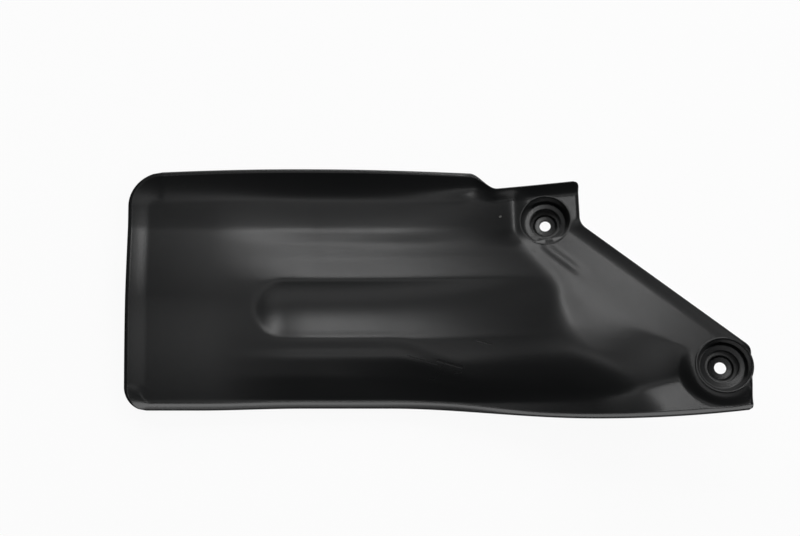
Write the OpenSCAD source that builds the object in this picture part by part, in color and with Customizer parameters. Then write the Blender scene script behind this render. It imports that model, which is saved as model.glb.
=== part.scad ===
/* [Sheet] */
// Wall thickness of the moulded sheet
sheet_t = 2.4; // [2:0.1:3]
// Distance from the upper bolt hole to the free end
flap_reach = 244; // [220:1:260]
// Distance from the upper bolt hole to the top edge
top_reach = 32.7; // [30:0.1:36]
// Distance from the upper bolt hole to the bottom edge
bottom_reach = 108.2; // [100:0.1:114]
// Corner radius at the free end, top side
top_corner_r = 20; // [16:1:28]
// Corner radius at the free end, bottom side
bottom_corner_r = 14; // [10:1:20]
// Slant of the free end over the flap width
end_slant = 4; // [0:0.5:6]
// Bow of the top edge
top_bow = 2.8; // [1:0.1:4]
// Sag of the bottom edge below the arm
belly_sag = 5.5; // [3:0.1:7]

/* [Panel] */
// Rise of the fold line above the flat of the panel
fold_rise = 1.2; // [0.6:0.1:2]
// Rise of the crest above the groove
crest_rise = 3.4; // [2.4:0.1:4.4]
// Rise of the crest below the groove
back_rise = 4.4; // [3.4:0.1:5.4]
// Step below the lower crest
back_step = 0.6; // [0.3:0.1:1]
// Depth of the long groove
groove_depth = 1.5; // [0.8:0.1:2]
// Width of the long groove
groove_w = 34.6; // [30:0.2:38]
// Distance from the upper bolt hole to the closed end of the groove
groove_reach = 169; // [150:1:180]
// Distance from the upper bolt hole to the centre line of the groove
groove_y = 50.4; // [46:0.2:54]

// Height of the crown over the panel at the free end
end_crown = 3; // [2:0.1:4]
// Upward sweep of the panel towards the top edge
sweep_h = 1.2; // [0.4:0.1:1.8]

/* [Edges] */
// Height of the turned-up top edge
top_lip_h = 3.4; // [2:0.1:5]
// Width of the turned-up top edge
top_lip_w = 16; // [12:0.5:18]
// Height of the turned-up free end
end_lip_h = 3.2; // [1:0.1:5]
// Width of the turned-up free end
end_lip_w = 10; // [7:0.5:14]
// Height of the lip on the bottom edge
bottom_lip_h = 3.8; // [2:0.1:5]
// Width of the lip on the bottom edge
bottom_lip_w = 4.6; // [3.6:0.1:7]
// Height of the lip on the tab's top edge
tab_lip_h = 4; // [2:0.1:5]
// Width of the lip on the tab's top edge
tab_lip_w = 8.5; // [6:0.5:9]
// Height of the lip along the arm's slanting edge
arm_lip_h = 0.9; // [0.3:0.1:1.6]

/* [Arm] */
// Rise of the arm along its length, in degrees
arm_rise = 10; // [8:0.25:12]
// Lean of the arm across its length, in degrees
arm_lean = 5; // [3:0.25:7]
// Height of the arm's face at the upper bolt hole
face_h = 15; // [14.8:0.1:17]
// Distance from the upper bolt hole to the notch
notch_reach = 27; // [25:0.5:30]
// Height of the notch above the upper bolt hole
notch_y = 19.8; // [18.6:0.1:21]
// Reach of the tab to the side of the upper bolt hole
tab_side = 19.7; // [18.5:0.1:22]
// Drop from the upper bolt hole to the nook
nook_y = 3; // [1:0.1:6]
// Distance from the upper bolt hole to the tip of the arm
tip_reach = 104.2; // [103.8:0.1:106]
// Drop from the upper bolt hole to the tip's top corner
tip_y = 75.5; // [70:0.1:77]
// Depth of the step along the foot of the arm
terrace_h = 3.4; // [2:0.1:4.4]
// Lift of the band below that step, per millimetre
band_lift = 0.09; // [0.02:0.01:0.12]

/* [Bosses] */
// Distance between the bolt holes along the flap
bolt_dx = 90; // [88:0.1:90.2]
// Distance between the bolt holes across the flap
bolt_dy = 85.3; // [84:0.1:90]
// Diameter of the bolt holes
hole_d = 6.5; // [5.5:0.1:7]
// Diameter of the boss mouth
mouth_d = 28; // [27:0.1:28.4]
// Diameter of the upper shelf in a boss
shelf_d = 24; // [23:0.1:24.4]
// Diameter where the shelf drops to the seat
drop_d = 17.4; // [16.6:0.1:18]
// Diameter of the seat under the bolt head
seat_d = 12.4; // [12:0.1:13]
// Depth of the shelf below the mouth
shelf_h = 6; // [5:0.1:6.5]
// Depth of the seat below the mouth
seat_h = 11.4; // [10.6:0.1:11.5]
// Wall thickness of the bosses
boss_t = 2; // [1.8:0.1:2.1]
// Height of the rounded rim round a boss
rim_h = 0.4; // [0.2:0.1:0.6]

/* [Hidden] */

// Slopes of the arm's face
slope_x = tan(arm_rise);
slope_y = tan(arm_lean) / cos(arm_rise);

// Line of the shoulder where the flap rises into the arm
shoulder_top = -22;
shoulder_mid = 5;
shoulder_low = 42;
rise_start = -80;

// Small shaping functions
function mix(a, b, t) = a + (b - a) * t;
function lim(t) = min(1, max(0, t));
function ease(t) = let (u = lim(t)) u * u * (3 - 2 * u);

// Free end of the sheet, before its slant
end_x = -flap_reach;

// Edge lines of the sheet
bow_mid = -140;
bow_len = 94;
function top_line(x) = top_reach - top_bow * pow((x - bow_mid) / bow_len, 2);
function bottom_line(x) = -bottom_reach
    - 1.1 * ease((-140 - x) / 60)
    - belly_sag * (x < 24 ? ease((x + 90) / 114) : 1 - 0.9 * pow((x - 24) / 80, 2));
function tab_line(x) = notch_y + 0.058 * (x + notch_reach);

// Section across the flap, measured up from the table
crest_y = -groove_y + groove_w / 2;
back_y = -groove_y - groove_w / 2;
foot_y = -bottom_reach + bottom_lip_w - 0.4;
crown_y = crest_y - 10.9;
crown_w = crown_y - foot_y;
function fold_share(x) = ease((x + 195) / 60);
function crown(y) = end_crown * max(0, 1 - pow(abs(y - crown_y) / crown_w, 1.5));
function section(x) =
    let (e = ease((x + 90) / 52), by = back_y - 16 * e, low = back_rise - back_step * (1 - e))
    [[foot_y, 0], [foot_y + 13.4 - 6 * e, low - 1.3], [by - 11 + 3 * e, low], [by - 7, low],
     [by, back_rise], [crest_y, crest_rise], [crest_y + 12.5, fold_rise + 0.6],
     [crest_y + 21.5, fold_rise], [crest_y + 30, 0]];

// Long groove, closed by a round end
function groove(x, y) =
    let (r = groove_w / 2, dx = max(0, r - groove_reach - x), dy = y + groove_y,
         q = (dx * dx + dy * dy) / (r * r))
    -groove_depth * max(0, 1 - q);

// Crowned free end, folds further in, and the sweep up to the top edge
function panel(x, y) =
    let (m = fold_share(x))
    sheet_t + mix(crown(min(y, crest_y + 30)), lookup(y, section(x)), m) + groove(x, y)
    + sweep_h * mix(0.7, 1, m) * pow(max(0, y - crest_y - 30) / 21, 2);

// Shoulder line and the face of the arm with its lower step
function shoulder(y) =
    shoulder_top + (shoulder_mid - shoulder_top) * ease((-5 - y) / 38)
    + (shoulder_low - shoulder_mid) * ease((-66 - y) / 48);
function face(x, y) = face_h + slope_x * x - slope_y * y;
function clear_of(x, y, r) =
    min(ease((norm([x, y]) - r) / 7), ease((norm([x - bolt_dx, y + bolt_dy]) - r) / 7));
function terrace(x, y) =
    let (hi = -53.7 - 0.5 * (x - 26.8), lo = -102.3 + 0.235 * (x - 26.8),
         t = lim((hi - y) / max(3, hi - lo)), p = mix(1.9, 1.2, ease((x - 25) / 35)),
         band = band_lift * max(0, lo - y) * ease((x - 30) / 30))
    (band - terrace_h * pow(t, p)) * clear_of(x, y, mouth_d / 2 + 2.4);
function arm(x, y) = face(x, y) + terrace(x, y);

// Flap and arm joined by a rise that steepens and rounds over into the shoulder
function body(x, y) =
    let (s = shoulder(y), t = max(0, (x - rise_start) / (s - rise_start)),
         p = mix(2.8, 1.7, ease((-20 - y) / 80)), f = panel(x, y),
         rise = f + (arm(s, y) - f) * pow(t, p), top = arm(x, y),
         k = mix(0.5, 3.5, ease((-45 - y) / 45)), h = lim(0.5 + 0.5 * (top - rise) / k))
    t < 0.62 ? rise : mix(top, rise, h) - k * h * (1 - h);

// Corner centres and slopes of the edge line
slant_k = (tip_y - nook_y) / (tip_reach - tab_side);
slant_a = atan(slant_k);
turn = 90 - slant_a;
corner_r = 3.4;
nook_r = 8;
tip_r = 6;
tip_low_r = 3;
nook_t = nook_r * tan(turn / 2);
tip_t = tip_r * tan(turn / 2);
tip_low_x = tip_reach - 1;
top_left = [end_x + top_corner_r, top_line(end_x + top_corner_r) - top_corner_r];
low_left = [end_x + bottom_corner_r, bottom_line(end_x + bottom_corner_r) + bottom_corner_r];
tab_right = [tab_side - corner_r, tab_line(tab_side - corner_r) - corner_r];
low_right = [tip_low_x - tip_low_r, bottom_line(tip_low_x - tip_low_r) + tip_low_r];
function arc_x(r, d) = r - sqrt(max(0, r * r - d * d));

// Left and right ends of the sheet at a given height across it
function left_x(y) = end_x
    + (y > top_left[1] ? arc_x(top_corner_r, y - top_left[1])
       : y < low_left[1] ? arc_x(bottom_corner_r, low_left[1] - y) : 0);
function slant_x(y) = tab_side + (-nook_y - y) / slant_k;
function right_x(y) =
    y > tab_right[1] ? tab_side - arc_x(corner_r, y - tab_right[1])
    : y > -nook_y + nook_t ? tab_side
    : y > -nook_y - nook_t * sin(slant_a) ? tab_side + arc_x(nook_r, -nook_y + nook_t - y)
    : y > -tip_y + tip_t * sin(slant_a) ? slant_x(y)
    : y > -tip_y - tip_t ? tip_reach - arc_x(tip_r, y + tip_y + tip_t)
    : mix(tip_reach, tip_low_x, lim((-tip_y - tip_t - y) / 20))
      - (y < low_right[1] ? arc_x(tip_low_r, low_right[1] - y) : 0);

// Upper edge of the sheet: flap, notch and tab
function upper_y(x) =
    let (a = -16 - notch_reach)
    x < a ? top_line(x)
    : x < -notch_reach ? mix(top_line(a), notch_y, ease((x - a) / 16))
    : tab_line(x);

// Stations across the sheet, given at the flap
rows = concat(
    [for (d = [0, 0.8, 2, 3.8, 6, 8.6, 11.4, 14.6, 19, 25, 30]) top_reach - d],
    [crest_y + 30, crest_y + 25.5, crest_y + 21.5, crest_y + 17, crest_y + 12.5,
     crest_y + 6],
    [for (k = [0:8]) mix(crest_y, back_y, k / 8)],
    [back_y - 3.4, back_y - 7, back_y - 11, mix(back_y - 11, foot_y + 13.4, 0.5),
     foot_y + 13.4, foot_y + 8, foot_y + 3.6, foot_y],
    [-bottom_reach + 2.8, -bottom_reach + 1.4, -bottom_reach + 0.6, -bottom_reach]);

// Stations along the sheet, as shares of the flap and of the arm
n_rise = 15;
n_arm = 27;
edge_steps = [0, 1.2, 2.6, 4.4, 6.6, 9, 11.6, 16, 22];
reach = shoulder_top - end_x;
rise_k = (rise_start - end_x) / reach;
flap_k = concat(
    [for (d = edge_steps) d / reach],
    [for (k = [1:16]) mix(22 / reach, rise_k, k / 16)],
    [for (k = [1:n_rise]) mix(rise_k, 1, k / n_rise)]);
arm_k = concat([for (k = [1:n_arm]) 0.91 * k / n_arm], [0.935, 0.96, 0.98, 0.992, 1]);
n_flap = len(flap_k) - 1;
NC = n_flap + len(arm_k);
NR = len(rows) - 1;

// Plan position of a grid point
function pull_up(y) = pow(lim((y + 8) / (top_reach + 8)), 1.2);
function pull_low(y) = pow(lim((back_y - 8 - y) / (bottom_reach + back_y - 8)), 1.3);
function end_rows(y, up, low) = y + (up - top_reach) * pull_up(y)
    + (low + bottom_reach) * pull_low(y);
function col_x(i, y) =
    let (yl = end_rows(y, top_left[1] + top_corner_r, low_left[1] - bottom_corner_r),
         yr = end_rows(y, tab_right[1] + corner_r, low_right[1] - tip_low_r))
    i <= n_flap ? mix(left_x(yl), shoulder(y), flap_k[i])
    : mix(shoulder(y), right_x(yr), arm_k[i - n_flap - 1]);
function row_y(x, y) = end_rows(y, upper_y(x), bottom_line(x));

// Turned-up edges
function up_h(x) =
    mix(top_lip_h * mix(0.6, 1, ease((x + 230) / 100)), tab_lip_h, ease((x + 43) / 16));
function up_w(x) = mix(top_lip_w, tab_lip_w, ease((x + 50) / 23));
function low_h(x) = mix(bottom_lip_h, 1.6, ease((x + 60) / 60));
function low_w(x) = mix(bottom_lip_w, 3.2, ease((x + 60) / 60));
function curl(d, w, h) = h * pow(lim(1 - d / w), 1.6);
function lips(x, y) =
    let (v = [top_left[0] - x, y - top_left[1]], u = [low_left[0] - x, low_left[1] - y])
    v[0] > 0 && v[1] > 0 ?
        let (t = atan2(v[1], v[0]) / 90, d = max(0, top_corner_r - norm(v)))
        [d, curl(d, mix(end_lip_w, top_lip_w, t), mix(end_lip_h, up_h(x), t))]
    : u[0] > 0 && u[1] > 0 ?
        let (t = atan2(u[1], u[0]) / 90, d = max(0, bottom_corner_r - norm(u)))
        [d, curl(d, mix(end_lip_w, bottom_lip_w, t), mix(end_lip_h, bottom_lip_h, t))]
    : let (du = max(0, upper_y(x) - y), dl = max(0, y - bottom_line(x)), de = max(0, x - end_x),
           s = ease((-y - nook_y + 4) / 6) * ease((y + tip_y + 4) / 6),
           dr = max(0, right_x(y) - x) * mix(1, sin(slant_a), s))
      [min(du, dl, de, dr),
       max(curl(du, up_w(x), up_h(x)), curl(dl, low_w(x), low_h(x)),
           curl(de, end_lip_w, end_lip_h), curl(dr, mix(2, 8, s), mix(0.4, arm_lip_h, s)))];

function top_point(i, j) =
    let (x = col_x(i, rows[j]), y = row_y(x, rows[j]), l = lips(x, y),
         slant = end_slant * lim((-150 - x) / 94) * (-y - 38) / 140)
    [x + slant, y, body(x, y) + l[1], l[0]];

tops = [for (i = [0:NC]) [for (j = [0:NR]) top_point(i, j)]];
function xyz(p) = [p[0], p[1], p[2]];
function normal_at(i, j) =
    let (u = xyz(tops[min(NC, i + 1)][j] - tops[max(0, i - 1)][j]),
         v = xyz(tops[i][max(0, j - 1)] - tops[i][min(NR, j + 1)]), c = cross(u, v))
    c / norm(c);
function under_point(i, j) =
    let (p = tops[i][j], n = normal_at(i, j), edge = i == 0 || i == NC || j == 0 || j == NR,
         k = edge ? 0 : lim(p[3] / 2.6), dz = min(1.25, mix(1 / n[2], n[2], k)))
    [p[0] - k * sheet_t * n[0], p[1] - k * sheet_t * n[1], p[2] - sheet_t * dz];

module sheet() {
    m = (NC + 1) * (NR + 1);
    pts = concat(
        [for (i = [0:NC]) for (j = [0:NR]) xyz(tops[i][j])],
        [for (i = [0:NC]) for (j = [0:NR]) under_point(i, j)]);
    function q(i, j) = i * (NR + 1) + j;
    faces = concat(
        [for (i = [0:NC - 1]) for (j = [0:NR - 1]) [q(i, j), q(i + 1, j), q(i + 1, j + 1)]],
        [for (i = [0:NC - 1]) for (j = [0:NR - 1]) [q(i, j), q(i + 1, j + 1), q(i, j + 1)]],
        [for (i = [0:NC - 1]) for (j = [0:NR - 1])
            [m + q(i, j), m + q(i + 1, j + 1), m + q(i + 1, j)]],
        [for (i = [0:NC - 1]) for (j = [0:NR - 1])
            [m + q(i, j), m + q(i, j + 1), m + q(i + 1, j + 1)]],
        [for (i = [0:NC - 1]) each [
            [q(i + 1, 0), q(i, 0), m + q(i, 0)],
            [q(i + 1, 0), m + q(i, 0), m + q(i + 1, 0)],
            [q(i, NR), q(i + 1, NR), m + q(i + 1, NR)],
            [q(i, NR), m + q(i + 1, NR), m + q(i, NR)]]],
        [for (j = [0:NR - 1]) each [
            [q(0, j), q(0, j + 1), m + q(0, j + 1)],
            [q(0, j), m + q(0, j + 1), m + q(0, j)],
            [q(NC, j + 1), q(NC, j), m + q(NC, j)],
            [q(NC, j + 1), m + q(NC, j), m + q(NC, j + 1)]]]);
    polyhedron(points = pts, faces = faces, convexity = 6);
}

// Middle of the part in plan
mid_x = (tip_reach + 0.8 - flap_reach - end_slant / 3) / 2;
mid_y = (top_reach - bottom_reach - belly_sag) / 2;

// Places a child on the arm's face, square to it
module on_face(x, y) {
    translate([x, y, face(x, y)]) rotate([-arm_lean, -arm_rise, 0]) children();
}

// Stepped cup that carries a bolt
module cup() {
    rm = mouth_d / 2;
    rs = shelf_d / 2;
    rd = drop_d / 2;
    rf = seat_d / 2;
    k1 = (rm - rs) / shelf_h;
    k2 = (rd - rf) / (seat_h - shelf_h);
    o1 = rm + boss_t * sqrt(1 + k1 * k1);
    o2 = rd + boss_t * sqrt(1 + k2 * k2);
    under = sheet_t + 0.25;
    rotate_extrude($fn = 120) polygon([
        [0, -seat_h], [rf - 0.5, -seat_h], [rf, -seat_h + 0.5],
        [rd - 0.25, -shelf_h - 0.55], [rd + 0.25, -shelf_h],
        [rs - 0.7, -shelf_h], [rs, -shelf_h + 0.6],
        [rm - 0.15, -0.45], [rm + 0.1, rim_h * 0.55], [rm + 0.45, rim_h],
        [rm + 0.8, rim_h], [o1 - under * k1, 0.06], [o1 - under * k1, -under],
        [o1 - (shelf_h + boss_t - 0.5) * k1, -shelf_h - boss_t + 0.5],
        [o1 - (shelf_h + boss_t) * k1 - 0.5, -shelf_h - boss_t],
        [o2 - (boss_t + 0.2) * k2, -shelf_h - boss_t - 0.2],
        [o2 - (seat_h + boss_t - shelf_h - 0.6) * k2, -seat_h - boss_t + 0.6],
        [o2 - (seat_h + boss_t - shelf_h) * k2 - 0.5, -seat_h - boss_t],
        [0, -seat_h - boss_t]]);
}

module mud_flap() {
    color([0.07, 0.07, 0.075]) translate([-mid_x, -mid_y, 0]) difference() {
        union() {
            difference() {
                sheet();
                on_face(0, 0) cylinder(h = 20, d = mouth_d + 1.2, center = true, $fn = 120);
                on_face(bolt_dx, -bolt_dy)
                    cylinder(h = 20, d = mouth_d + 1.2, center = true, $fn = 120);
            }
            on_face(0, 0) cup();
            on_face(bolt_dx, -bolt_dy) cup();
        }
        on_face(0, 0) cylinder(h = 60, d = hole_d, center = true, $fn = 64);
        on_face(bolt_dx, -bolt_dy) cylinder(h = 60, d = hole_d, center = true, $fn = 64);
    }
}

mud_flap();
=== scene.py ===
import math

import bpy
import numpy as np
from bpy.props import FloatProperty, FloatVectorProperty, PointerProperty
from mathutils import Matrix, Vector


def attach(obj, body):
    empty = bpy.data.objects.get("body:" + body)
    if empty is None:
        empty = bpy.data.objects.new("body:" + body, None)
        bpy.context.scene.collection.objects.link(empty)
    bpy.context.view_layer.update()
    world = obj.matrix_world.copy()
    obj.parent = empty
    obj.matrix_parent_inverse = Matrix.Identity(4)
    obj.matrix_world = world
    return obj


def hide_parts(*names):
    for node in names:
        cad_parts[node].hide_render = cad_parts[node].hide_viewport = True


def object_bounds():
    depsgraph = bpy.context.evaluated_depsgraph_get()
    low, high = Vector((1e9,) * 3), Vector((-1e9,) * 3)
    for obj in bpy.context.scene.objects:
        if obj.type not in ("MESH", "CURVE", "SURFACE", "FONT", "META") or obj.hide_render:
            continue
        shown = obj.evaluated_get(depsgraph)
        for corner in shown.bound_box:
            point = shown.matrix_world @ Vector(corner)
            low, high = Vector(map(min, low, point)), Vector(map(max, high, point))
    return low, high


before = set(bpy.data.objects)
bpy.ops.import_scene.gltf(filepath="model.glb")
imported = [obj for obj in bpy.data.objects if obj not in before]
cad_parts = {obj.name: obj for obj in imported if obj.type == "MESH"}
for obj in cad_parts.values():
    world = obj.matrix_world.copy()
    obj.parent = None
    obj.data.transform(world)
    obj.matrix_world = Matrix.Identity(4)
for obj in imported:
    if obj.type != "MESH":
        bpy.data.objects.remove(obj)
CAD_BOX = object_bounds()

bl_info = {
    "name": "Shock Mud Flap",
    "version": (1, 0, 0),
    "blender": (4, 5, 0),
    "location": "View3D > Sidebar > Mud Flap",
    "description": "Builds a moulded shock mud flap with stepped bolt cups on a studio table",
    "category": "Add Mesh",
}

NODE = "mud_flap"
BODY = "root"
PLASTIC = "moulded_black"
MM = 0.001


# Settings, in metres and radians as Blender keeps them

def length(name, text, mm):
    return FloatProperty(name=name, description=text, default=mm * MM,
                         unit='LENGTH', subtype='DISTANCE', precision=5)


def angle(name, text, degrees):
    return FloatProperty(name=name, description=text, default=math.radians(degrees),
                         unit='ROTATION', subtype='ANGLE')


class MUDFLAP_PG_sheet(bpy.types.PropertyGroup):
    sheet_t: length("Wall", "Wall thickness of the sheet", 2.4)
    flap_reach: length("Flap reach", "From the upper bolt hole to the free end", 244)
    top_reach: length("Top reach", "From the upper bolt hole to the top edge", 32.7)
    bottom_reach: length("Bottom reach", "From the upper bolt hole to the bottom edge", 108.2)
    top_corner_r: length("Top corner", "Corner radius at the free end, top side", 20)
    bottom_corner_r: length("Bottom corner", "Corner radius at the free end, bottom side", 14)
    end_slant: length("End slant", "Slant of the free end over the flap width", 4)
    top_bow: length("Top bow", "Bow of the top edge", 2.8)
    belly_sag: length("Belly", "Sag of the bottom edge below the arm", 5.5)
    fold_rise: length("Fold", "Rise of the fold line above the flat of the panel", 1.2)
    crest_rise: length("Crest", "Rise of the crest above the groove", 3.4)
    back_rise: length("Back crest", "Rise of the crest below the groove", 4.4)
    back_step: length("Back step", "Step below the lower crest", 0.6)
    groove_depth: length("Groove depth", "Depth of the long groove", 1.8)
    groove_w: length("Groove width", "Width of the long groove", 34.6)
    groove_reach: length("Groove reach", "From the upper bolt hole to the groove's end", 169)
    end_crown: length("End crown", "Height of the crown over the panel at the free end", 3)
    sweep_h: length("Sweep", "Upward sweep of the panel towards the top edge", 1.2)
    groove_y: length("Groove place", "From the upper bolt hole to the groove's middle", 50.4)
    top_lip_h: length("Top lip", "Height of the turned-up top edge", 3.4)
    top_lip_w: length("Top lip width", "Width of the turned-up top edge", 16)
    rim_w: length("Rolled rim", "Width of the rolled rim along the top edge and free end", 2.4)
    end_lip_h: length("End lip", "Height of the turned-up free end", 3.2)
    end_lip_w: length("End lip width", "Width of the turned-up free end", 10)
    bottom_lip_h: length("Bottom lip", "Height of the lip on the bottom edge", 3.8)
    bottom_lip_w: length("Bottom lip width", "Width of the lip on the bottom edge", 4.6)
    tab_lip_h: length("Tab lip", "Height of the lip on the tab's top edge", 4)
    tab_lip_w: length("Tab lip width", "Width of the lip on the tab's top edge", 8.5)
    arm_lip_h: length("Arm lip", "Height of the lip along the slanting edge", 0.9)
    arm_rise: angle("Arm rise", "Rise of the arm along its length", 10)
    arm_lean: angle("Arm lean", "Lean of the arm across its length", 5)
    face_h: length("Face height", "Height of the arm's face at the upper bolt hole", 15)
    notch_reach: length("Notch reach", "From the upper bolt hole to the notch", 27)
    notch_y: length("Notch height", "Height of the notch above the upper bolt hole", 19.8)
    tab_side: length("Tab side", "Reach of the tab beside the upper bolt hole", 19.7)
    nook_y: length("Nook", "Drop from the upper bolt hole to the nook", 3)
    tip_reach: length("Tip reach", "From the upper bolt hole to the arm's tip", 104.2)
    tip_y: length("Tip drop", "Drop from the upper bolt hole to the tip's corner", 75.5)
    terrace_h: length("Terrace", "Depth of the step along the foot of the arm", 3.4)


class MUDFLAP_PG_cups(bpy.types.PropertyGroup):
    bolt_dx: length("Bolts along", "Distance between the bolt holes along the flap", 90)
    bolt_dy: length("Bolts across", "Distance between the bolt holes across the flap", 85.3)
    hole_d: length("Hole", "Diameter of the bolt holes", 6.5)
    mouth_d: length("Mouth", "Diameter of the boss mouth", 28)
    shelf_d: length("Shelf", "Diameter of the upper shelf in a boss", 24)
    drop_d: length("Drop", "Diameter where the shelf drops to the seat", 17.4)
    seat_d: length("Seat", "Diameter of the seat under the bolt head", 12.4)
    shelf_h: length("Shelf depth", "Depth of the shelf below the mouth", 6)
    seat_h: length("Seat depth", "Depth of the seat below the mouth", 11.4)
    boss_t: length("Cup wall", "Wall thickness of the bosses", 2)
    rim_h: length("Rim", "Height of the rounded rim round a boss", 0.4)


class MUDFLAP_PG_finish(bpy.types.PropertyGroup):
    plastic: FloatVectorProperty(name="Plastic", description="Colour of the moulded plastic",
                                 subtype='COLOR', size=3, min=0, max=1,
                                 default=(0.0066, 0.0068, 0.0069))
    table: FloatVectorProperty(name="Table", description="Colour of the studio table",
                               subtype='COLOR', size=3, min=0, max=1,
                               default=(0.82, 0.82, 0.82))


# Shape of the sheet: places and runs in millimetres from the upper bolt hole, x along the flap
# towards the tip and y across it towards the top edge. A ramp is (start, run), and a negative
# run goes down or back.

BOW_MID, BOW_HALF = -140, 94
BELLY_X, BELLY_RAMP = 24, (-90, 114)
BELLY_RUN, BELLY_FADE = 80, 0.9
END_DROP, END_DROP_RAMP = 1.1, (-140, -60)
TAB_SLOPE, NOTCH_RUN, TIP_RUN = 0.058, 16, 20
FOOT_GAP, TIP_INSET = 0.4, 1
CUP_OVERHANG, SLANT_PART = 0.8, 3

CROWN_DROP, CROWN_POWER, CROWN_RAMP = 10.9, 1.5, (-195, 60)
TURN_RAMP, BACK_TURN = (-90, 52), 16
FACET_W, FACET_TURN, FACET_FALL = 13.4, 6, 1.3
STEP_FAR, STEP_TURN, STEP_NEAR = 11, 3, 7
FOLD_NEAR, FOLD_FAR, FLAT_FROM, FOLD_SWELL = 12.5, 21.5, 30, 0.6
SWEEP_SHARE, SWEEP_RUN = 0.7, 21
DISH_H, DISH_X, DISH_RUN, DISH_POWER = 2.9, -135, 100, 1.3

SHOULDER_X = -18.5
SHOULDER_BENDS = ((23.5, (-5, -38)), (37, (-66, -48)))
TERRACE_X, TERRACE_LEAST = 26.8, 3
TERRACE_TOP, TERRACE_TOP_SLOPE = -53.7, 0.5
TERRACE_FOOT, TERRACE_FOOT_SLOPE = -102.3, 0.235
TERRACE_POWER, TERRACE_POWER_TIP, TERRACE_POWER_RAMP = 1.9, 1.2, (25, 35)
CUP_CLEAR, CUP_FADE = 2.4, 7
BAND_LIFT, BAND_RAMP = 0.09, (30, 30)

# The rise from the panel to the arm: its rows, where it starts and how steep it is
LOW_ROWS, MID_ROWS, UPPER_ROWS = (-78, -24), (-72, 34), (-16, 12)
RISE_X, RISE_X_LOW = -130, 33
RISE_POWER, RISE_POWER_LOW, RISE_POWER_UPPER = 2.25, 0.25, 0.5
LIFT_LOW, LIFT_MID, LIFT_UPPER = 2.2, 0.9, 2.2
LIFT_FROM, LIFT_TO = (-104, 30), (14, 8)
CREST_W_LOW, CREST_W_MID, CREST_W_UPPER = 28, 13, 8
CREST_LEAD, CREST_LEAD_UPPER = 5, 2
BLEND_UPPER, BLEND_LOW, BLEND_ROWS = 0.5, 3.5, (-45, -45)
JOIN_FROM = 0.75
VEIN_X, VEIN_Y, VEIN_EAST, VEIN_SOUTH = -4, -13, 0.767, 0.642
VEIN_H, VEIN_W, VEIN_IN, VEIN_OUT = 0.30, 2.4, (0, 8), (22, 12)

# The turned-up edges
TOP_LIP_SHARE, TOP_LIP_RAMP = 0.6, (-230, 100)
END_LIP_SHARE = 0.35
TAB_LIP_RAMP, TAB_LIP_W_RAMP = (-43, 16), (-50, 23)
ARM_FOOT_W, ARM_FOOT_H, ARM_FOOT_RAMP = 3.2, 1.6, (-60, 60)
SIDE_LIP_W, SIDE_LIP_H, ARM_LIP_W, SLANT_RAMP = 2, 0.4, 8, (-4, 6)
ROLL_DROP, CURL_POWER = 0.28, 1.6
PULL_GAP, PULL_UP_POWER, PULL_LOW_POWER = 8, 1.2, 1.3
CREASE_R = 1.1


def mix(a, b, t):
    return a + (b - a) * t


def lim(t):
    return np.clip(t, 0, 1)


def ease(t):
    u = lim(t)
    return u * u * (3 - 2 * u)


def ramp(v, start, run):
    """0 before start, 1 after the run, smooth between."""
    return ease((v - start) / run)


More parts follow.
